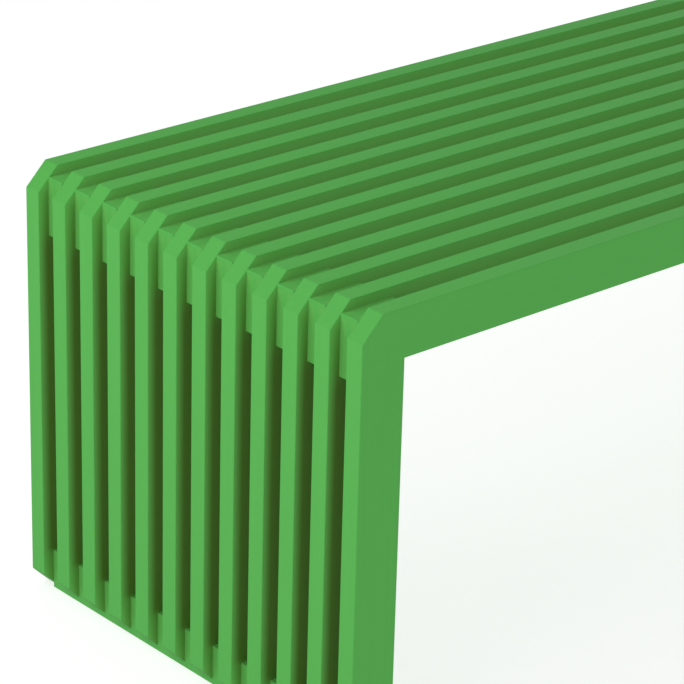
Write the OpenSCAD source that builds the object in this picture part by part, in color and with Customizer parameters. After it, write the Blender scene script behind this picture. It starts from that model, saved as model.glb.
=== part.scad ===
// Slatted backless bench in painted wood.
// Flat frames stand side by side across the depth of the bench. Each frame is a seat rail
// mitred onto two legs, with a hidden spline in each mitre. L-shaped spacers sit between the
// frames at both top corners, two rods run through frames and spacers at each corner, and a
// foot rail ties the legs together near the floor at each end.
// The origin is on the floor at the middle of the bench. X runs along the length, Y across
// the depth and Z up. The left end is the one at low X, and frame 1 is the one at low Y.

/* [Overall] */
// Length of the bench, end to end
bench_length = 1400; // [900:10:1800]
// Height of the seat above the floor
seat_height = 450; // [380:5:520]

/* [Frames] */
// Number of frames across the depth
frame_count = 12; // [6:1:12]
// Thickness of every frame board
board_thickness = 20; // [18:1:26]
// Clear gap between neighbouring frames
frame_gap = 22; // [14:1:32]
// Height of a seat rail, from its top to its underside
rail_height = 48; // [44:1:60]
// Width of a leg, along the bench
leg_width = 50; // [46:1:62]
// Size of the 45 degree cut on the top outer corner
corner_cut = 23; // [8:1:26]
// Size of the 45 degree cut on the outer edge of each foot
foot_cut = 18; // [4:1:24]

/* [Corner spacers] */
// Length of both arms of a spacer, measured over its outer corner
spacer_arm = 60; // [56:1:80]
// Setback of the spacer behind the end face of the bench
spacer_setback = 12; // [10:1:14]
// Depth of the spacer's top below the seat
spacer_drop = 10; // [8:1:12]

/* [Foot rails] */
// Height of the foot rail
foot_rail_height = 42; // [36:1:60]
// Setback of the foot rail behind the end face of the bench
foot_rail_setback = 12; // [10:1:14]

/* [Hidden joinery] */
// Diameter of the rods that run through the corners
rod_diameter = 10; // [8:1:12]
// Wood left outside a rod's end in the outermost frames
rod_cover = 8; // [5:1:12]
// Diameter of the dowels at the feet
dowel_diameter = 8; // [6:1:10]
// Length of the upright dowels from the foot rail into the inner legs
leg_dowel_length = 40; // [30:1:50]
// Length of the level dowels from the outermost legs into the foot rail
end_dowel_length = 30; // [24:1:34]
// Depth that a level dowel reaches into the outermost leg
end_dowel_in_leg = 12; // [8:1:14]
// Length of a mitre spline, along the mitre
spline_length = 32; // [20:1:34]
// Width of a mitre spline, across the mitre
spline_width = 16; // [10:1:18]
// Thickness of a mitre spline
spline_thickness = 4; // [3:1:6]

/* [Finish] */
// Colour of the paint
paint_colour = "#56a850"; // color
// Colour of the bare wood of the hidden dowels, rods and splines
bare_wood_colour = "#d9b98a"; // color

/* [Hidden] */
// Glue line left round every dowel, rod and spline
glue_line = 0.1;
// Free length left past the ends of the dowels and rods
end_relief = 1;
// How far a cutting shape runs past the face that it cuts
overcut = 1;
$fn = 48;

left = -1;
right = 1;
spacer_count = frame_count - 1;
frame_pitch = board_thickness + frame_gap;
bench_depth = frame_count * board_thickness + spacer_count * frame_gap;
rail_underside = seat_height - rail_height;

// Where the mitre line comes out on the top corner's cut. It starts at the inner corner of
// the frame and runs towards the corner that the cut takes off.
mitre_share = corner_cut / (leg_width + rail_height);
mitre_tip = [leg_width * mitre_share, seat_height - rail_height * mitre_share];
mitre_middle = ([leg_width, rail_underside] + mitre_tip) / 2;
mitre_angle = atan2(rail_height, leg_width);

// Places of the joinery in an end, as distances from the end face and heights
rail_rod_place = [leg_width + rod_diameter, seat_height - 27];
leg_rod_place = [leg_width / 2, seat_height - spacer_drop - spacer_arm + rod_diameter];
leg_dowel_x = (foot_rail_setback + leg_width) / 2;
end_dowel_spread = 9;

function two_digits(i) = str(i < 10 ? "0" : "", i);
function numbered(name, i) = str(name, "_", two_digits(i));
function frame_y(i) = -bench_depth / 2 + (i - 1) * frame_pitch;
function gap_y(i) = frame_y(i) + board_thickness;
function is_outermost(i) = i == 1 || i == frame_count;

// Children are drawn for an end whose end face is at x = 0, and placed at one end of the bench.
module at_end(side) {
    mirror([side == right ? 1 : 0, 0, 0])
        translate([-bench_length / 2, 0, 0])
            children();
}

// A board of the given thickness, cut to an outline drawn in X and Z, its low face at y.
module board(y, thickness) {
    translate([0, y + thickness, 0])
        rotate([90, 0, 0])
            linear_extrude(thickness)
                children();
}

// A round bar along Y, from y_start to y_end, at a place given as [x, z].
module bar_along_y(place, diameter, y_start, y_end) {
    translate([place[0], y_start, place[1]])
        rotate([-90, 0, 0])
            cylinder(d = diameter, h = y_end - y_start);
}

// The two rods of a corner, or the bores for them when play is given.
module corner_rods(play = 0, relief = 0) {
    half_length = bench_depth / 2 - rod_cover + relief;
    for (place = [rail_rod_place, leg_rod_place]) {
        bar_along_y(place, rod_diameter + 2 * play, -half_length, half_length);
    }
}

module corner_rod_bores() {
    corner_rods(play = glue_line, relief = end_relief);
}

// A loose tongue across the mitre of frame i, or the pocket for it when play is given.
module mitre_spline(i, play = 0) {
    size = [spline_length, spline_thickness, spline_width] + [1, 1, 1] * 2 * play;
    translate([mitre_middle[0], frame_y(i) + board_thickness / 2, mitre_middle[1]])
        rotate([0, mitre_angle, 0])
            cube(size, center = true);
}

// The upright dowel of inner frame i, or the hole for it when play is given.
module leg_dowel(i, play = 0, relief = 0) {
    length = leg_dowel_length + 2 * relief;
    translate([leg_dowel_x, frame_y(i) + board_thickness / 2, foot_rail_height - length / 2])
        cylinder(d = dowel_diameter + 2 * play, h = length);
}

// The level dowels at both ends of a foot rail, or the holes for them when play is given.
module end_dowels(play = 0, relief = 0) {
    leg_face = bench_depth / 2 - board_thickness;
    inner = leg_face + end_dowel_in_leg - end_dowel_length - relief;
    outer = leg_face + end_dowel_in_leg + relief;
    for (dx = [-end_dowel_spread, end_dowel_spread]) {
        place = [leg_dowel_x + dx, foot_rail_height / 2];
        bar_along_y(place, dowel_diameter + 2 * play, -outer, -inner);
        bar_along_y(place, dowel_diameter + 2 * play, inner, outer);
    }
}

module end_dowel_holes() {
    end_dowels(play = glue_line, relief = end_relief);
}

module leg_outline() {
    polygon([
        [foot_cut, 0],
        [leg_width, 0],
        [leg_width, rail_underside],
        mitre_tip,
        [0, seat_height - corner_cut],
        [0, foot_cut]
    ]);
}

module seat_rail_outline() {
    far = bench_length;
    polygon([
        mitre_tip,
        [leg_width, rail_underside],
        [far - leg_width, rail_underside],
        [far - mitre_tip[0], mitre_tip[1]],
        [far - corner_cut, seat_height],
        [corner_cut, seat_height]
    ]);
}

// One arm runs down beside the legs and the other along beside the seat rails, and both are
// flush with the inner edges of the frame.
module corner_spacer_outline() {
    top = seat_height - spacer_drop;
    polygon([
        [spacer_setback, top],
        [spacer_setback, top - spacer_arm],
        [leg_width, top - spacer_arm],
        [leg_width, rail_underside],
        [spacer_setback + spacer_arm, rail_underside],
        [spacer_setback + spacer_arm, top]
    ]);
}

// The step in the foot of an inner leg, which laps over the front of the foot rail.
module foot_lap() {
    translate([foot_rail_setback, -overcut])
        square([leg_width - foot_rail_setback + overcut, foot_rail_height + overcut]);
}

module seat_rail(i) {
    color(paint_colour)
        difference() {
            translate([-bench_length / 2, 0, 0])
                board(frame_y(i), board_thickness)
                    seat_rail_outline();
            for (side = [left, right]) {
                at_end(side) {
                    corner_rod_bores();
                    mitre_spline(i, play = glue_line);
                }
            }
        }
}

module outer_leg(i) {
    difference() {
        board(frame_y(i), board_thickness)
            leg_outline();
        corner_rod_bores();
        mitre_spline(i, play = glue_line);
        end_dowel_holes();
    }
}

module inner_leg(i) {
    difference() {
        board(frame_y(i), board_thickness)
            difference() {
                leg_outline();
                foot_lap();
            }
        corner_rod_bores();
        mitre_spline(i, play = glue_line);
        leg_dowel(i, play = glue_line, relief = end_relief);
    }
}

module leg(i, side) {
    color(paint_colour)
        at_end(side) {
            if (is_outermost(i)) {
                outer_leg(i);
            } else {
                inner_leg(i);
            }
        }
}

// The two spacers, one at each end of the bench, in the gap between frames i and i + 1.
module corner_spacers(i) {
    color(paint_colour)
        for (side = [left, right]) {
            at_end(side)
                difference() {
                    board(gap_y(i), frame_gap)
                        corner_spacer_outline();
                    corner_rod_bores();
                }
        }
}

module foot_rail(side) {
    color(paint_colour)
        at_end(side)
            difference() {
                translate([foot_rail_setback, -bench_depth / 2 + board_thickness, 0])
                    cube([
                        leg_width - foot_rail_setback,
                        bench_depth - 2 * board_thickness,
                        foot_rail_height
                    ]);
                for (i = [2 : frame_count - 1]) {
                    leg_dowel(i, play = glue_line, relief = end_relief);
                }
                end_dowel_holes();
            }
}

module mitre_splines(side) {
    color(bare_wood_colour)
        at_end(side)
            for (i = [1 : frame_count]) {
                mitre_spline(i);
            }
}

module rods(side) {
    color(bare_wood_colour)
        at_end(side)
            corner_rods();
}

module leg_dowels(side) {
    color(bare_wood_colour)
        at_end(side)
            for (i = [2 : frame_count - 1]) {
                leg_dowel(i);
            }
}

module foot_rail_end_dowels(side) {
    color(bare_wood_colour)
        at_end(side)
            end_dowels();
}

for (i = [1 : frame_count]) {
    seat_rail(i);
    leg(i, left);
    leg(i, right);
}
for (i = [1 : spacer_count]) {
    corner_spacers(i);
}
foot_rail(left);  // left_foot_rail
foot_rail(right);  // right_foot_rail
mitre_splines(left);  // left_mitre_splines
mitre_splines(right);  // right_mitre_splines
rods(left);  // left_corner_rods
rods(right);  // right_corner_rods
leg_dowels(left);  // left_leg_dowels
leg_dowels(right);  // right_leg_dowels
foot_rail_end_dowels(left);  // left_end_dowels
foot_rail_end_dowels(right);  // right_end_dowels
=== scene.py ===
import math
from contextlib import contextmanager

import bmesh
import bpy
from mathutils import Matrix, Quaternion, Vector


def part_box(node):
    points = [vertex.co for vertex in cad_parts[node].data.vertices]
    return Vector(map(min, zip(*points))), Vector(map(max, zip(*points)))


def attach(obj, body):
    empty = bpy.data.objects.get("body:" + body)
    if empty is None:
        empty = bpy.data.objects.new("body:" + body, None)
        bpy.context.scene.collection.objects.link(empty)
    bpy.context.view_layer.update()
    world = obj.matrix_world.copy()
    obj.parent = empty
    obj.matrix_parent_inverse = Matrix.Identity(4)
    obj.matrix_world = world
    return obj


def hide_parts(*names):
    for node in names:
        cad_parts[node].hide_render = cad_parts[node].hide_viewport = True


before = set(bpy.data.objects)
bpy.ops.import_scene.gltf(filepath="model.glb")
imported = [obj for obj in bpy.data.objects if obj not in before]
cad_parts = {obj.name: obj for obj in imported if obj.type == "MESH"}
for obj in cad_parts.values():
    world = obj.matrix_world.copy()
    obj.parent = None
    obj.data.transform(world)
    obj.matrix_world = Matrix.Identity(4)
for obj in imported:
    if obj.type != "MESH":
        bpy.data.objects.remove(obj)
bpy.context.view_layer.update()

bl_info = {
    "name": "Slatted bench",
    "version": (1, 0, 0),
    "blender": (4, 5, 0),
    "location": "3D View > Sidebar > Bench",
    "description": "Models and paints a slatted backless bench, board by board",
    "category": "Object",
}

LEFT, RIGHT = -1, 1
SIDE_NAMES = {LEFT: "left", RIGHT: "right"}
FLOOR = 0.0
TINY = 1e-5

# What counts as a real corner, as a flat run of faces and as a rounding, by the angle of an edge.
CORNER_ANGLE = math.radians(30)
FLAT_ANGLE = math.radians(1)
SMOOTH_ANGLE = math.radians(40)
# A direction counts as lying along an axis when its share of that axis is above this.
ALIGNED = 0.9

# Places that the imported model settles. The bench is symmetric about X = 0 and Y = 0, so END and
# SIDE, the distances of its outer faces from the middle, are half its length and half its depth.
leg_low, leg_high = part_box("left_leg_01")
rail_low, rail_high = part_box("seat_rail_01")
spacer_low, spacer_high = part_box("corner_spacers_01")
foot_rail_low, foot_rail_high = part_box("left_foot_rail")
END = -leg_low.x
SIDE = -leg_low.y
GAP = spacer_high.y - spacer_low.y
PITCH = GAP + leg_high.y - leg_low.y
SPACER_UNDERSIDE = spacer_low.z
SEAT = rail_high.z
RAIL_UNDERSIDE = rail_low.z
LEG_WIDTH = leg_high.x - leg_low.x
FOOT_RAIL_SETBACK = foot_rail_low.x - leg_low.x
FOOT_RAIL_TOP = foot_rail_high.z
FRAME_COUNT = sum(name.startswith("seat_rail_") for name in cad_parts)

# The mitre runs from the inner corner of a frame to where it comes out on the corner cut.
MITRE_INNER = Vector((END - LEG_WIDTH, 0, RAIL_UNDERSIDE))
MITRE_TIP = Vector((-rail_low.x, 0, leg_high.z))


class BenchSizes(bpy.types.PropertyGroup):
    """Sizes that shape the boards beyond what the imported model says"""

    corner_cut: bpy.props.FloatProperty(
        name="Corner cut",
        description="Size of the 45 degree cut on the top outer corners",
        default=(END + rail_low.x) * (LEG_WIDTH + SEAT - RAIL_UNDERSIDE) / LEG_WIDTH,
        unit="LENGTH",
    )
    foot_cut: bpy.props.FloatProperty(
        name="Foot cut",
        description="Size of the 45 degree cut on the outer edge of each foot",
        default=0.018,
        unit="LENGTH",
    )
    board_rounding: bpy.props.FloatProperty(
        name="Board rounding",
        description="Radius of the eased edges of the frame boards",
        default=0.001,
        unit="LENGTH",
    )
    block_rounding: bpy.props.FloatProperty(
        name="Block rounding",
        description="Radius of the eased edges of the spacers and the foot rails",
        default=0.001,
        unit="LENGTH",
    )
    rounding_steps: bpy.props.IntProperty(
        name="Rounding steps",
        description="Number of flats that make up a rounded edge",
        default=4,
        min=1,
    )


class BenchFinish(bpy.types.PropertyGroup):
    """Colours and surface of the paint and the bare wood, with light and shade painted into the
    gaps
    """

    paint_colour: bpy.props.FloatVectorProperty(
        name="Paint",
        description="Colour of the paint",
        subtype="COLOR",
        default=(0.087, 0.4, 0.073),
        min=0,
        max=1,
    )
    # Painted light: a lighter, warmer green just inside each gap between the frames, standing in
    # for the light there.
    gap_mouth_painted_light: bpy.props.FloatVectorProperty(
        name="Paint at the mouth of a gap",
        description="Colour of the paint just inside the gaps between the frames",
        subtype="COLOR",
        default=(0.15, 0.485, 0.104),
        min=0,
        max=1,
    )
    # Painted light: a lighter, warmer green deep in the gaps of the seat, standing in for the
    # light there.
    seat_gap_painted_light: bpy.props.FloatVectorProperty(
        name="Paint between the seat rails",
        description="Colour of the paint deep in the gaps of the seat",
        subtype="COLOR",
        default=(0.18, 0.465, 0.115),
        min=0,
        max=1,
    )
    # Painted shade: this dark olive stands in for the shade deep in the gaps between the legs.
    leg_gap_painted_shade: bpy.props.FloatVectorProperty(
        name="Paint between the legs",
        description="Colour deep in the gaps of the ends, where the paint is thin over the wood",
        subtype="COLOR",
        default=(0.098, 0.215, 0.03),
        min=0,
        max=1,
    )
    # Painted light: a lighter, warmer green on the spacers and foot rails beside the boards,
    # standing in for the light there.
    block_edge_painted_light: bpy.props.FloatVectorProperty(
        name="Paint beside the boards",
        description="Colour of the paint on the spacers and foot rails where they meet the boards",
        subtype="COLOR",
        default=(0.132, 0.425, 0.09),
        min=0,
        max=1,
    )
    paint_roughness: bpy.props.FloatProperty(
        name="Paint roughness",
        description="Roughness of the satin paint",
        subtype="FACTOR",
        default=0.55,
        min=0,
        max=1,
    )
    grain_relief: bpy.props.FloatProperty(
        name="Grain relief",
        description="Height of the wood grain that shows through the paint",
        default=0.00012,
        unit="LENGTH",
    )
    wood_colour: bpy.props.FloatVectorProperty(
        name="Bare wood",
        description="Colour of the bare beech of the dowels, rods and splines",
        subtype="COLOR",
        default=(0.62, 0.43, 0.24),
        min=0,
        max=1,
    )


class BenchStage(bpy.types.PropertyGroup):
    """Camera, lights and floor"""

    camera_aim: bpy.props.FloatVectorProperty(
        name="Camera aim",
        description="Point that the camera looks at",
        subtype="TRANSLATION",
        unit="LENGTH",
        default=(-0.506, 0.0, 0.2958),
    )
    camera_distance: bpy.props.FloatProperty(
        name="Camera distance",
        description="Distance from the camera to its aim",
        default=2.9486,
        unit="LENGTH",
    )
    camera_turn: bpy.props.FloatProperty(
        name="Camera turn",
        description="Turn of the view from +Y towards +X",
        default=math.radians(42.07),
        unit="ROTATION",
    )
    camera_tilt: bpy.props.FloatProperty(
        name="Camera tilt",
        description="Angle of the view below the horizon",
        default=math.radians(23.50),
        unit="ROTATION",
    )
    camera_roll: bpy.props.FloatProperty(
        name="Camera roll",
        description="Anticlockwise roll of the camera about its view",
        default=math.radians(1.543),
        unit="ROTATION",
    )
    camera_lens: bpy.props.FloatProperty(
        name="Focal length",
        description="Focal length on a 36 mm sensor",
        default=162.3,
        unit="CAMERA",
    )
    sky_strength: bpy.props.FloatProperty(
        name="Sky strength",
        description="Brightness of the white surroundings",
        default=0.53,
        min=0,
    )
    end_power: bpy.props.FloatProperty(
        name="End lights",
        description="Power of each of the two softboxes before the left end",
        default=6.4,
        unit="POWER",
    )
    front_power: bpy.props.FloatProperty(
        name="Front light",
        description="Power of the softbox before the low Y side",
        default=3.0,
        unit="POWER",
    )
    back_power: bpy.props.FloatProperty(
        name="Back light",
        description="Power of the high softbox over the high Y side",
        default=3.5,
        unit="POWER",
    )
    right_power: bpy.props.FloatProperty(
        name="Right light",
        description="Power of the softbox before the right end",
        default=8.0,
        unit="POWER",
    )
    floor_glow: bpy.props.FloatProperty(
        name="Floor glow",
        description="Light that the floor gives off, so that it stays pale under the bench",
        default=0.72,
        min=0,
    )
    floor_colour: bpy.props.FloatVectorProperty(
        name="Floor",
        description="Colour of the floor",
        subtype="COLOR",
        default=(0.4, 0.4, 0.4),
        min=0,
        max=1,
    )


# ---------------------------------------------------------------- modelling by hand


def select_only(piece):
    bpy.ops.object.select_all(action="DESELECT")
    piece.select_set(True)
    bpy.context.view_layer.objects.active = piece


@contextmanager
def editing(piece):
    """Edit mode on one piece, which is closed again at the end."""
    select_only(piece)
    bpy.ops.object.mode_set(mode="EDIT")
    yield bmesh.from_edit_mesh(piece.data)
    bpy.ops.object.mode_set(mode="OBJECT")


def choose(piece, kind, test):
    """Selects the faces or edges of a piece in edit mode for which the test holds."""
    bpy.ops.mesh.select_mode(type={"faces": "FACE", "edges": "EDGE"}[kind])
    bpy.ops.mesh.select_all(action="DESELECT")
    mesh = bmesh.from_edit_mesh(piece.data)
    chosen = [part for part in getattr(mesh, kind) if test(part)]
    if not chosen:
        raise RuntimeError(f"{piece.name} has no such {kind} to work on")
    for part in chosen:
        part.select_set(True)
    bmesh.update_edit_mesh(piece.data)


def block(name, corner, opposite):
    """A plain block between two opposite corners, to be shaped further."""
    corner, opposite = Vector(corner), Vector(opposite)
    size = [abs(side) for side in opposite - corner]
    bpy.ops.object.select_all(action="DESELECT")
    bpy.ops.mesh.primitive_cube_add(size=1, location=(corner + opposite) / 2, scale=size)
    bpy.ops.object.transform_apply(location=True, rotation=True, scale=True)
    piece = bpy.context.active_object
    piece.name = piece.data.name = name
    return piece


def score(place, normal):
    """Scores a line round the whole piece in edit mode, where a plane meets it."""
    bpy.ops.mesh.select_all(action="SELECT")
    bpy.ops.mesh.bisect(plane_co=place, plane_no=normal, threshold=TINY)


def saw_off(place, normal):
    """Takes off what lies beyond a plane, and closes the cut."""
    bpy.ops.mesh.select_all(action="SELECT")
    bpy.ops.mesh.bisect(
        plane_co=place, plane_no=normal, use_fill=True, clear_outer=True, threshold=TINY
    )


def pull_down(piece, beyond, height, drop):
    """Extrudes the underside at a height downwards, beyond a distance from the bench's middle."""

    def is_underside(face):
        middle = face.calc_center_median()
        is_level = face.normal.z < -ALIGNED and abs(middle.z - height) < TINY
        return is_level and abs(middle.x) > beyond

    choose(piece, "faces", is_underside)
    bpy.ops.mesh.extrude_region_move(TRANSFORM_OT_translate={"value": (0, 0, -drop)})


def merge_flats():
    """Joins faces that lie in one plane, so that only real edges are left."""
    bpy.ops.mesh.select_all(action="SELECT")
    bpy.ops.mesh.dissolve_limited(angle_limit=FLAT_ANGLE)


def is_outer_corner(edge):
    return edge.is_convex and edge.calc_face_angle(0) > CORNER_ANGLE


def is_crosswise(edge):
    """Tells an edge that runs along Y, across the frames."""
    run = edge.verts[1].co - edge.verts[0].co
    return abs(run.normalized().y) > ALIGNED


def is_clear_of_lap(edge):
    """Tells an outer corner from an edge that bears on the foot rail, which stays crisp."""
    middle = (edge.verts[0].co + edge.verts[1].co) / 2
    behind_front = abs(middle.x) < END - FOOT_RAIL_SETBACK + TINY
    return is_outer_corner(edge) and not (behind_front and middle.z < FOOT_RAIL_TOP + TINY)


def ease(piece, radius, steps, test):
    """Rounds the edges for which the test holds."""
    choose(piece, "edges", test)
    bpy.ops.mesh.bevel(
        offset=radius, offset_type="OFFSET", segments=steps, profile=0.5, affect="EDGES"
    )


def copy_of(piece, name, shift=(0, 0, 0)):
    """A copy with its own mesh, moved, with its place in its mesh."""
    select_only(piece)
    bpy.ops.object.duplicate(linked=False)
    bpy.ops.transform.translate(value=shift)
    bpy.ops.object.transform_apply(location=True, rotation=False, scale=False)
    copy = bpy.context.active_object
    copy.name = copy.data.name = name
    return copy


def sand(piece):
    """Shades the rounded edges smooth and keeps the faces flat, on a piece that must be closed."""
    with editing(piece) as mesh:
        bpy.ops.mesh.select_all(action="SELECT")
        bpy.ops.mesh.normals_make_consistent(inside=False)
        if any(not edge.is_manifold for edge in mesh.edges):
            raise RuntimeError(f"{piece.name} isn't a closed solid")
    select_only(piece)
    bpy.ops.object.shade_smooth_by_angle(angle=SMOOTH_ANGLE)
    bpy.ops.object.modifier_add(type="WEIGHTED_NORMAL")
    piece.modifiers[-1].keep_sharp = True
    bpy.ops.object.modifier_apply(modifier=piece.modifiers[-1].name)


def hand_over(piece, material, node):
    """Gives a finished piece its paint and its place in the frame."""
    piece.data.materials.clear()
    piece.data.materials.append(material)
    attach(piece, "root")
    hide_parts(node)


# ---------------------------------------------------------------- the bench's own pieces


def at_side(side, point):
    """A point or direction given for the right end, at the end wanted."""
    return Vector((side * point[0], point[1], point[2]))


def whole_frame(sizes, number, lapped):
    """A frame before it is parted at its mitres: a seat rail with both legs, sawn and eased."""
    low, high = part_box(f"seat_rail_{number:02d}")
    piece = block("whole_frame", (-END, low.y, RAIL_UNDERSIDE), (END, high.y, SEAT))
    with editing(piece):
        for side in (LEFT, RIGHT):
            score(at_side(side, (END - LEG_WIDTH, 0, 0)), (1, 0, 0))
            if lapped:
                score(at_side(side, (END - FOOT_RAIL_SETBACK, 0, 0)), (1, 0, 0))
        leg_end = FOOT_RAIL_TOP if lapped else FLOOR
        pull_down(piece, END - LEG_WIDTH, RAIL_UNDERSIDE, RAIL_UNDERSIDE - leg_end)
        if lapped:
            pull_down(piece, END - FOOT_RAIL_SETBACK, FOOT_RAIL_TOP, FOOT_RAIL_TOP - FLOOR)
        for side in (LEFT, RIGHT):
            saw_off(at_side(side, (END - sizes.corner_cut, 0, SEAT)), (side, 0, 1))
            saw_off(at_side(side, (END - sizes.foot_cut, 0, FLOOR)), (side, 0, -1))
        merge_flats()
        test = is_clear_of_lap if lapped else is_outer_corner
        ease(piece, sizes.board_rounding, sizes.rounding_steps, test)
    return piece


def part_at_mitres(whole):
    """Saws a whole frame into its left leg, its seat rail and its right leg."""
    along = MITRE_TIP - MITRE_INNER
    to_rail = Vector((-along.z, 0, along.x))
    members = {name: copy_of(whole, name) for name in ("left_leg", "seat_rail", "right_leg")}
    for side in (LEFT, RIGHT):
        corner = at_side(side, MITRE_INNER)
        with editing(members[f"{SIDE_NAMES[side]}_leg"]):
            saw_off(corner, at_side(side, to_rail))
        with editing(members["seat_rail"]):
            saw_off(corner, -at_side(side, to_rail))
    for member in members.values():
        sand(member)
    bpy.data.objects.remove(whole)
    return members


def make_frames(context, numbers, lapped):
    """Models the first frame of the numbers given and copies its members to the others."""
    first = numbers[0]
    members = part_at_mitres(whole_frame(context.scene.bench_sizes, first, lapped))
    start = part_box(f"seat_rail_{first:02d}")[0].y
    for name, member in members.items():
        material = green_paint("seat", "x") if name == "seat_rail" else green_paint("legs", "z")
        for number in numbers:
            node = f"{name}_{number:02d}"
            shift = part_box(node)[0].y - start
            hand_over(copy_of(member, f"{node}_painted", (0, shift, 0)), material, node)
        bpy.data.objects.remove(member)


class BENCH_OT_outer_frames(bpy.types.Operator):
    """Model the two outermost frames, whose legs stand on the floor beside the foot rails"""

    bl_idname = "bench.outer_frames"
    bl_label = "Outermost frames"
    bl_options = {"REGISTER", "UNDO"}

    def execute(self, context):
        make_frames(context, [1, FRAME_COUNT], lapped=False)
        return {"FINISHED"}


class BENCH_OT_inner_frames(bpy.types.Operator):
    """Model the inner frames, whose legs lap over the front of the foot rails"""

    bl_idname = "bench.inner_frames"
    bl_label = "Inner frames"
    bl_options = {"REGISTER", "UNDO"}

    def execute(self, context):
        make_frames(context, list(range(2, FRAME_COUNT)), lapped=True)
        return {"FINISHED"}


class BENCH_OT_corner_spacers(bpy.types.Operator):
    """Model the L-shaped spacers that hold the frames apart at the top corners"""

    bl_idname = "bench.corner_spacers"
    bl_label = "Corner spacers"
    bl_options = {"REGISTER", "UNDO"}

    def model(self, sizes, side):
        """One spacer in the first gap: a level arm, with an upright arm pulled down from it."""
        arm = spacer_high.z - spacer_low.z
        outer = at_side(side, (spacer_high.x, spacer_low.y, RAIL_UNDERSIDE))
        inner = at_side(side, (spacer_high.x - arm, spacer_high.y, spacer_high.z))
        piece = block("corner_spacer", outer, inner)
        with editing(piece):
            score(at_side(side, (END - LEG_WIDTH, 0, 0)), (1, 0, 0))
            pull_down(piece, END - LEG_WIDTH, RAIL_UNDERSIDE, RAIL_UNDERSIDE - spacer_low.z)
            merge_flats()
            ease(
                piece,
                sizes.block_rounding,
                sizes.rounding_steps,
                lambda edge: is_outer_corner(edge) and is_crosswise(edge),
            )
        sand(piece)
        return piece

    def execute(self, context):
        paint = green_paint("spacers", "x")
        for side in (LEFT, RIGHT):
            first = self.model(context.scene.bench_sizes, side)
            for number in range(1, FRAME_COUNT):
                node = f"corner_spacers_{number:02d}"
                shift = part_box(node)[0].y - spacer_low.y
                name = f"corner_spacer_{number:02d}_{SIDE_NAMES[side]}"
                hand_over(copy_of(first, name, (0, shift, 0)), paint, node)
            bpy.data.objects.remove(first)
        return {"FINISHED"}


class BENCH_OT_foot_rails(bpy.types.Operator):
    """Model the rails that tie the feet together between the outermost legs"""

    bl_idname = "bench.foot_rails"
    bl_label = "Foot rails"
    bl_options = {"REGISTER", "UNDO"}

    def execute(self, context):
        sizes = context.scene.bench_sizes
        for side in SIDE_NAMES.values():
            node = f"{side}_foot_rail"
            piece = block(f"{node}_painted", *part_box(node))
            with editing(piece):
                ease(piece, sizes.block_rounding, sizes.rounding_steps, is_crosswise)
            sand(piece)
            hand_over(piece, green_paint("foot_rails", "y"), node)
        return {"FINISHED"}


class BENCH_OT_hidden_joinery(bpy.types.Operator):
    """Give the rods, dowels and splines inside the joints their bare beech"""

    bl_idname = "bench.hidden_joinery"
    bl_label = "Hidden joinery"
    bl_options = {"REGISTER", "UNDO"}

    def execute(self, context):
        grain = {"corner_rods": "y", "end_dowels": "y", "leg_dowels": "z", "mitre_splines": "x"}
        for kind, along in grain.items():
            for side in SIDE_NAMES.values():
                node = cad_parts[f"{side}_{kind}"]
                for material_slot in node.material_slots:
                    material_slot.material = bare_wood(along)
        return {"FINISHED"}


# ---------------------------------------------------------------- materials

# Streaks of the grain, by their width and length in metres.
PAINTED_RINGS = {"width": 0.006, "length": 0.35}
PAINTED_PORES = {"width": 0.0011, "length": 0.03}
BARE_RINGS = {"width": 0.003, "length": 0.12}
BARE_FLECKS = {"width": 0.0007, "length": 0.006}
# Unevenness of the paint, in features per metre: broad mottling and fine spray texture.
MOTTLE_SCALE = 9
SPRAY_SCALE = 700
# Darkest and lightest tone of a finish, as shares of its colour.
PAINT_TONES = (0.94, 1.06)
BARE_TONES = (0.75, 1.15)
PAINT_SPECULAR = 0.1
PAINT_BUMP = 0.6
BARE_ROUGHNESS = 0.6
BARE_BUMP = 0.5
BARE_RELIEF = 0.0002

# Depths in a gap, in metres, for the light and shade painted on the boards' sides. The colour
# first takes the painted light of the gap's mouth, and then turns to the painted colour of its
# depth, shade on the legs and light on the seat, which it has in full at its reach.
MOUTH_START, MOUTH_FULL = 0.0003, 0.0016
DEEP_START = 0.001
GAP_REACH = {"legs": 0.0098, "seat": 0.009}
# A board's face is the side of a gap when it lies this far behind the bench's outermost faces.
OUTER_FACE_MARGIN = 0.003
# How much of the painted shade deep in a gap is taken off a leg beside a spacer, from a little
# below it upwards, and beside a foot rail, from about its top downwards, where these blocks light
# the gap.
SPACER_SHARE, FOOT_RAIL_SHARE = 0.58, 0.4
BELOW_SPACER = 0.012
FOOT_RAIL_SHARE_START, FOOT_RAIL_SHARE_FULL = FOOT_RAIL_TOP + 0.004, FOOT_RAIL_TOP - 0.002
# The foot cut, which faces the floor, is painted darker as shade, fading out over these distances
# from its plane, in X and Z together.
FOOT_CUT_BRIGHTNESS = 0.7
FOOT_CUT_CLEAR, FOOT_CUT_FULL = 0.0014, 0.0004
# The painted light on the spacers and foot rails beside the boards fades in over these heights
# above the floor, and over these depths behind the outlines of the frames.
BLOCK_LIGHT_HEIGHT = (0.006, 0.016)
BLOCK_LIGHT_DEPTH = (0.001, 0.003)


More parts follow.
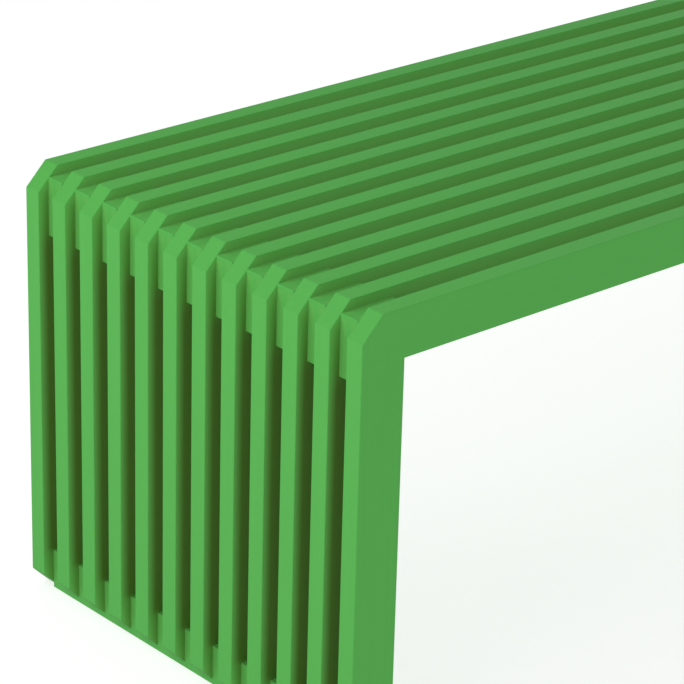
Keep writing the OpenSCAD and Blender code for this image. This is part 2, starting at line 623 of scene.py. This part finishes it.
class Value:
    """A socket of a material's nodes. Sums on it add Math nodes."""

    def __init__(self, sheet, socket):
        self.sheet = sheet
        self.socket = socket

    def maths(self, operation, first, second):
        return self.sheet.node("Math", {"operation": operation}, {0: first, 1: second})

    def __add__(self, other):
        return self.maths("ADD", self, other)

    def __radd__(self, other):
        return self.maths("ADD", other, self)

    def __sub__(self, other):
        return self.maths("SUBTRACT", self, other)

    def __rsub__(self, other):
        return self.maths("SUBTRACT", other, self)

    def __mul__(self, other):
        return self.maths("MULTIPLY", self, other)

    def __rmul__(self, other):
        return self.maths("MULTIPLY", other, self)

    def least(self, other):
        return self.maths("MINIMUM", self, other)

    def most(self, other):
        return self.maths("MAXIMUM", self, other)

    def magnitude(self):
        return self.sheet.node("Math", {"operation": "ABSOLUTE"}, {0: self})


class NodeSheet:
    """The nodes of one material."""

    def __init__(self, name):
        self.material = bpy.data.materials.new(name)
        self.material.use_nodes = True
        self.nodes = self.material.node_tree.nodes
        self.links = self.material.node_tree.links
        self.shader = self.nodes["Principled BSDF"]

    def node(self, kind, settings=None, inputs=None, output=0):
        """Adds a node of a kind, with its settings, and the values or links of its sockets."""
        made = self.nodes.new(f"ShaderNode{kind}")
        for name, setting in (settings or {}).items():
            setattr(made, name, setting)
        for name, value in (inputs or {}).items():
            self.feed(made, name, value)
        return Value(self, made.outputs[output])

    def feed(self, node, name, value):
        if isinstance(value, Value):
            self.links.new(value.socket, node.inputs[name])
        else:
            node.inputs[name].default_value = value


MIX_COLOUR = {"factor": 0, "first": 6, "second": 7, "result": 2}


def mix_colours(sheet, share, first, second):
    """A colour between two, by a share of the second."""
    return sheet.node(
        "Mix",
        {"data_type": "RGBA"},
        {MIX_COLOUR["factor"]: share, MIX_COLOUR["first"]: first, MIX_COLOUR["second"]: second},
        output=MIX_COLOUR["result"],
    )


def tinted(colour, brightness):
    """A colour made lighter or darker, with full alpha."""
    return [min(1, channel * brightness) for channel in colour] + [1]


def streaks(sheet, place, along, width, length):
    """Noise drawn out along one axis: streaks of about that width and length, from 0 to 1."""
    stretch = [1 / length if axis == along else 1 / width for axis in "xyz"]
    drawn_out = sheet.node("VectorMath", {"operation": "MULTIPLY"}, {0: place, 1: stretch})
    return noise(sheet, drawn_out, scale=1, detail=2)


def noise(sheet, place, scale, detail):
    return sheet.node("TexNoise", None, {"Vector": place, "Scale": scale, "Detail": detail})


def axes_of(sheet, place):
    """The X, Y and Z of a place, in metres."""
    return [sheet.node("SeparateXYZ", None, {0: place}, output=axis) for axis in range(3)]


def gap_depth(sheet, place):
    """How far a point on a frame's side lies from the nearest outline of the frame, in metres."""
    x, _, z = axes_of(sheet, place)
    along = x.magnitude()
    from_end, from_seat = END - along, SEAT - z
    sizes = bpy.context.scene.bench_sizes
    from_cut = (from_end + from_seat - sizes.corner_cut) * math.sqrt(0.5)
    from_outside = from_end.least(from_seat).least(from_cut)
    from_inside = (along - (END - LEG_WIDTH)).most(z - RAIL_UNDERSIDE)
    return from_outside.least(from_inside)


def share_between(sheet, value, start, full):
    """0 up to the start and 1 from the full value on, which may also be the lower of the two."""
    return sheet.node("MapRange", None, {"Value": value, "From Min": start, "From Max": full})


def paint_gap_light_and_shade(sheet, place, colour, part):
    """The colour of a board with light and shade painted into the gaps between the frames: at
    once, then with depth, and painted shade on the foot cut.
    """
    finish = bpy.context.scene.bench_finish
    x, y, z = axes_of(sheet, place)
    side_limit = SIDE - OUTER_FACE_MARGIN
    is_inner = sheet.node("Math", {"operation": "LESS_THAN"}, {0: y.magnitude(), 1: side_limit})
    depth = gap_depth(sheet, place)
    mouth = share_between(sheet, depth, MOUTH_START, MOUTH_FULL)
    deep = share_between(sheet, depth, DEEP_START, GAP_REACH[part])
    deep_colour = finish.seat_gap_painted_light
    if part == "legs":
        deep_colour = finish.leg_gap_painted_shade
        corner_middle = RAIL_UNDERSIDE + LEG_WIDTH / 2
        # Less painted shade on the legs beside the spacers and foot rails, which light the gap.
        by_spacer = share_between(sheet, z, SPACER_UNDERSIDE - BELOW_SPACER, corner_middle)
        by_foot_rail = share_between(sheet, z, FOOT_RAIL_SHARE_START, FOOT_RAIL_SHARE_FULL)
        deep = deep * (1 - by_spacer * SPACER_SHARE - by_foot_rail * FOOT_RAIL_SHARE)
    # Painted light at the mouth of a gap, turning with depth to painted shade on the legs and
    # painted light on the seat.
    gap_light_and_shade = mix_colours(sheet, deep, tinted(finish.gap_mouth_painted_light, 1), tinted(deep_colour, 1))
    colour = mix_colours(sheet, is_inner * mouth, colour, gap_light_and_shade)

    # Painted shade: the foot cut, which faces the floor, is darkened.
    from_cut = END - x.magnitude() + z - bpy.context.scene.bench_sizes.foot_cut
    on_foot_cut = share_between(sheet, from_cut, FOOT_CUT_CLEAR, FOOT_CUT_FULL)
    foot_cut_shade = tinted(finish.paint_colour, FOOT_CUT_BRIGHTNESS)
    return mix_colours(sheet, on_foot_cut, colour, foot_cut_shade)


def paint_light_by_boards(sheet, place, colour):
    """The colour of a part that crosses the gaps, with light painted in each gap towards its
    boards.
    """
    finish = bpy.context.scene.bench_finish
    _, y, z = axes_of(sheet, place)
    # Painted light: the spacers and foot rails turn lighter and warmer towards the boards in each
    # gap.
    from_middle = sheet.node("Math", {"operation": "PINGPONG"}, {0: y, 1: PITCH / 2})
    share = share_between(sheet, from_middle, 0, GAP / 2)
    share = share * share_between(sheet, z, *BLOCK_LIGHT_HEIGHT)
    share = share * share_between(sheet, gap_depth(sheet, place), *BLOCK_LIGHT_DEPTH)
    return mix_colours(sheet, share, colour, tinted(finish.block_edge_painted_light, 1))


def relief_normal(sheet, height, strength, distance):
    """The normal of a surface in relief: a pattern from 0 to 1, over a distance in metres."""
    inputs = {"Height": height, "Strength": strength, "Distance": distance}
    return sheet.node("Bump", None, inputs)


def green_paint(part, along):
    """Satin green paint on a part of the bench whose grain runs along an axis, with light and
    shade painted into its colour in the gaps.
    """
    name = f"green_paint_{part}"
    if name in bpy.data.materials:
        return bpy.data.materials[name]
    finish = bpy.context.scene.bench_finish
    sheet = NodeSheet(name)
    place = sheet.node("TexCoord", output="Object")
    rings = streaks(sheet, place, along, **PAINTED_RINGS)
    pores = streaks(sheet, place, along, **PAINTED_PORES)
    mottle = noise(sheet, place, MOTTLE_SCALE, detail=2)
    spray = noise(sheet, place, SPRAY_SCALE, detail=1)

    # The weights of the patterns in a tone or a relief add up to 1.
    tone = rings * 0.45 + pores * 0.25 + mottle * 0.3
    dark, light = [tinted(finish.paint_colour, brightness) for brightness in PAINT_TONES]
    colour = mix_colours(sheet, tone, dark, light)
    # Light and shade painted into the colour in the gaps: on the boards' sides, and on the spacers
    # and foot rails beside the boards.
    if part in GAP_REACH:
        colour = paint_gap_light_and_shade(sheet, place, colour, part)
    else:
        colour = paint_light_by_boards(sheet, place, colour)
    roughness = finish.paint_roughness - 0.05 + mottle * 0.06 + pores * 0.04
    relief = rings * 0.5 + pores * 0.35 + spray * 0.15
    normal = relief_normal(sheet, relief, PAINT_BUMP, finish.grain_relief)
    sheet.feed(sheet.shader, "Base Color", colour)
    sheet.feed(sheet.shader, "Roughness", roughness)
    sheet.feed(sheet.shader, "Specular IOR Level", PAINT_SPECULAR)
    sheet.feed(sheet.shader, "Normal", normal)
    return sheet.material


def bare_wood(along):
    """Bare beech with its grain along an axis."""
    name = f"bare_wood_grain_{along}"
    if name in bpy.data.materials:
        return bpy.data.materials[name]
    finish = bpy.context.scene.bench_finish
    sheet = NodeSheet(name)
    place = sheet.node("TexCoord", output="Object")
    rings = streaks(sheet, place, along, **BARE_RINGS)
    flecks = streaks(sheet, place, along, **BARE_FLECKS)
    dark, light = [tinted(finish.wood_colour, brightness) for brightness in BARE_TONES]
    colour = mix_colours(sheet, rings * 0.6 + flecks * 0.4, dark, light)
    relief = rings * 0.4 + flecks * 0.6
    sheet.feed(sheet.shader, "Base Color", colour)
    sheet.feed(sheet.shader, "Roughness", BARE_ROUGHNESS + flecks * 0.15)
    sheet.feed(sheet.shader, "Normal", relief_normal(sheet, relief, BARE_BUMP, BARE_RELIEF))
    return sheet.material


# ---------------------------------------------------------------- stage

SENSOR_WIDTH = 36
FLOOR_SIZE = 24
# The floor lies just below the feet, so that they don't share a plane.
FLOOR_DROP = 0.0005
FLOOR_ROUGHNESS = 0.9
WHITE = (1, 1, 1, 1)

# What the lights point at: the top corner of the left end, and the middle of what the camera sees.
CORNER = Vector((-END, 0, SEAT))
MIDDLE = Vector((-0.4, 0, 0.35))
# Each light's aim, turn from +X and lift from the floor as seen from its aim in degrees,
# distance and size in metres, and the property that holds its power.
SOFTBOXES = {
    "end_light_low_y": (CORNER, 196, 38, 1.5, 0.8, "end_power"),
    "end_light_high_y": (CORNER, 152, 38, 1.5, 0.8, "end_power"),
    "front_light": (MIDDLE, 255, 32, 3.0, 1.6, "front_power"),
    "back_light": (MIDDLE, 105, 58, 3.0, 1.6, "back_power"),
    "right_light": (MIDDLE, 20, 20, 3.0, 1.6, "right_power"),
}


class BENCH_OT_stage(bpy.types.Operator):
    """Set up the camera, the soft lights and the pale floor"""

    bl_idname = "bench.stage"
    bl_label = "Stage"
    bl_options = {"REGISTER", "UNDO"}

    def place_camera(self, context, stage):
        turn, tilt = stage.camera_turn, stage.camera_tilt
        view = Vector((
            math.sin(turn) * math.cos(tilt),
            math.cos(turn) * math.cos(tilt),
            -math.sin(tilt),
        ))
        roll = Quaternion((0, 0, 1), stage.camera_roll)
        bpy.ops.object.camera_add(location=Vector(stage.camera_aim) - view * stage.camera_distance)
        camera = context.active_object
        camera.rotation_euler = (view.to_track_quat("-Z", "Y") @ roll).to_euler()
        camera.data.sensor_width = SENSOR_WIDTH
        camera.data.lens = stage.camera_lens
        context.scene.camera = camera

    def add_softbox(self, context, name, aim, turn, lift, distance, size, power):
        """A square light that faces its aim."""
        turn, lift = math.radians(turn), math.radians(lift)
        away = Vector((
            math.cos(turn) * math.cos(lift),
            math.sin(turn) * math.cos(lift),
            math.sin(lift),
        ))
        bpy.ops.object.light_add(type="AREA", location=aim + away * distance)
        light = context.active_object
        light.name = light.data.name = name
        light.rotation_euler = (-away).to_track_quat("-Z", "Y").to_euler()
        light.data.size = size
        light.data.energy = power

    def surround(self, context, stage):
        """White surroundings that light the bench from all sides."""
        world = bpy.data.worlds.new("studio")
        world.use_nodes = True
        sky = world.node_tree.nodes["Background"]
        sky.inputs["Color"].default_value = WHITE
        sky.inputs["Strength"].default_value = stage.sky_strength
        context.scene.world = world
        context.scene.view_settings.view_transform = "Standard"

    def lay_floor(self, context, stage):
        bpy.ops.mesh.primitive_plane_add(size=FLOOR_SIZE, location=(0, 0, FLOOR - FLOOR_DROP))
        floor = context.active_object
        floor.name = "floor"
        sheet = NodeSheet("pale_floor")
        sheet.feed(sheet.shader, "Base Color", (*stage.floor_colour, 1))
        sheet.feed(sheet.shader, "Roughness", FLOOR_ROUGHNESS)
        sheet.feed(sheet.shader, "Emission Color", WHITE)
        sheet.feed(sheet.shader, "Emission Strength", stage.floor_glow)
        floor.data.materials.append(sheet.material)

    def execute(self, context):
        stage = context.scene.bench_stage
        bpy.ops.object.select_all(action="DESELECT")
        self.place_camera(context, stage)
        for name, (*placing, power) in SOFTBOXES.items():
            self.add_softbox(context, name, *placing, getattr(stage, power))
        self.surround(context, stage)
        self.lay_floor(context, stage)
        return {"FINISHED"}


class BENCH_PT_panel(bpy.types.Panel):
    """Buttons and sizes of the bench in the sidebar"""

    bl_label = "Slatted bench"
    bl_idname = "BENCH_PT_panel"
    bl_space_type = "VIEW_3D"
    bl_region_type = "UI"
    bl_category = "Bench"

    def draw(self, context):
        for group_name, group_class in GROUPS.items():
            box = self.layout.box()
            for name in group_class.__annotations__:
                box.prop(getattr(context.scene, group_name), name)
        for step in STEPS:
            self.layout.operator(step.bl_idname)


STEPS = (
    BENCH_OT_outer_frames,
    BENCH_OT_inner_frames,
    BENCH_OT_corner_spacers,
    BENCH_OT_foot_rails,
    BENCH_OT_hidden_joinery,
    BENCH_OT_stage,
)
GROUPS = {
    "bench_sizes": BenchSizes,
    "bench_finish": BenchFinish,
    "bench_stage": BenchStage,
}


def register():
    for group in (*GROUPS.values(), *STEPS, BENCH_PT_panel):
        bpy.utils.register_class(group)
    for name, group in GROUPS.items():
        setattr(bpy.types.Scene, name, bpy.props.PointerProperty(type=group))


def unregister():
    for name in GROUPS:
        delattr(bpy.types.Scene, name)
    for group in reversed((*GROUPS.values(), *STEPS, BENCH_PT_panel)):
        bpy.utils.unregister_class(group)


def main():
    register()
    bpy.ops.bench.outer_frames()
    bpy.ops.bench.inner_frames()
    bpy.ops.bench.corner_spacers()
    bpy.ops.bench.foot_rails()
    bpy.ops.bench.hidden_joinery()
    bpy.ops.bench.stage()


if __name__ == "__main__":
    main()
